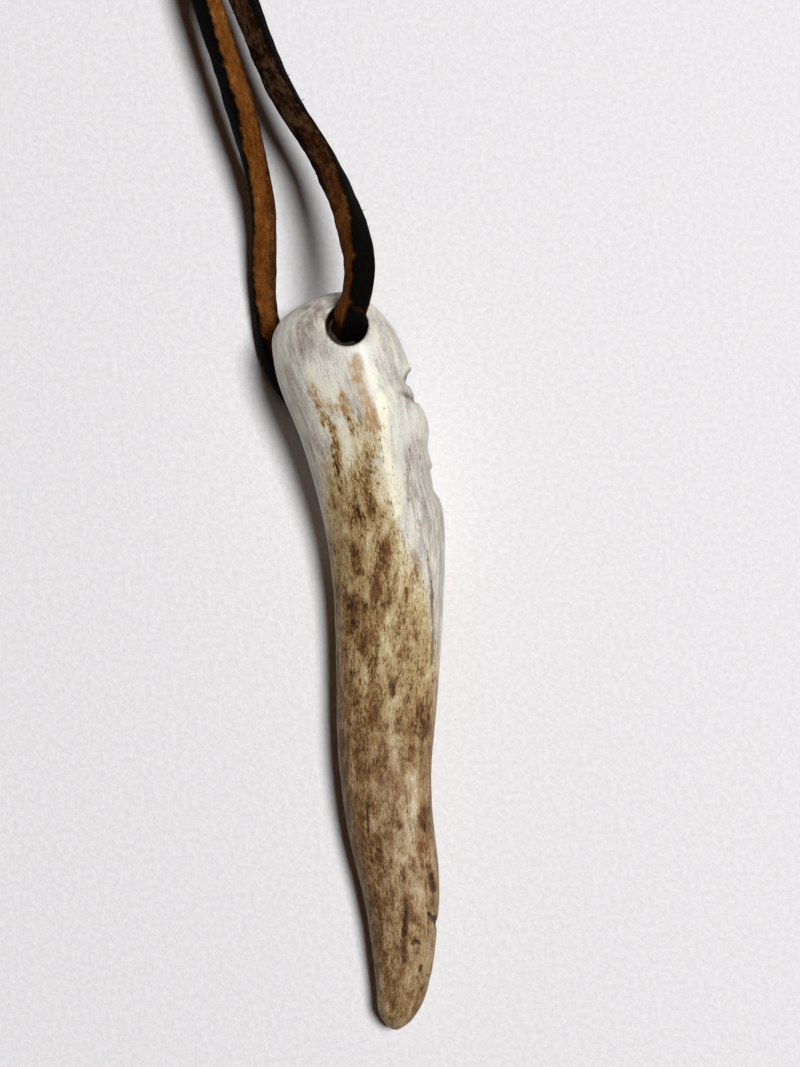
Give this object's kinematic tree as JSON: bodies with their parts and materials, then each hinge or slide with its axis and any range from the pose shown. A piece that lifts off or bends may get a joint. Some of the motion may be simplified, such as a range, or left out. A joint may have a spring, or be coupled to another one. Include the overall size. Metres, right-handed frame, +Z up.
{
  "type": "carved antler tip",
  "caption": "Curved antler tine tip with a carved edge, drilled near its thick end and threaded on a leather lace, lying on its side.",
  "frame": {"origin": "centre of the antler's bounding box, at the surface that it lies on", "axes": "+Y along the antler towards its drilled end, +X towards its carved edge, +Z up"},
  "size_m": [0.0275, 0.2273, 0.0195],
  "materials": {
    "antler": "antler, polished ivory grey at the drilled end and stained brown towards the tip, satin",
    "leather_lace": "leather lace of nearly square section, black on its grain side and tan on its flesh side, matte"
  },
  "bodies": {
    "root": {"antler_tip": "antler", "lace": "leather_lace", "lace_hank": "leather_lace", "lace_knot": "leather_lace"}
  },
  "joints": []
}
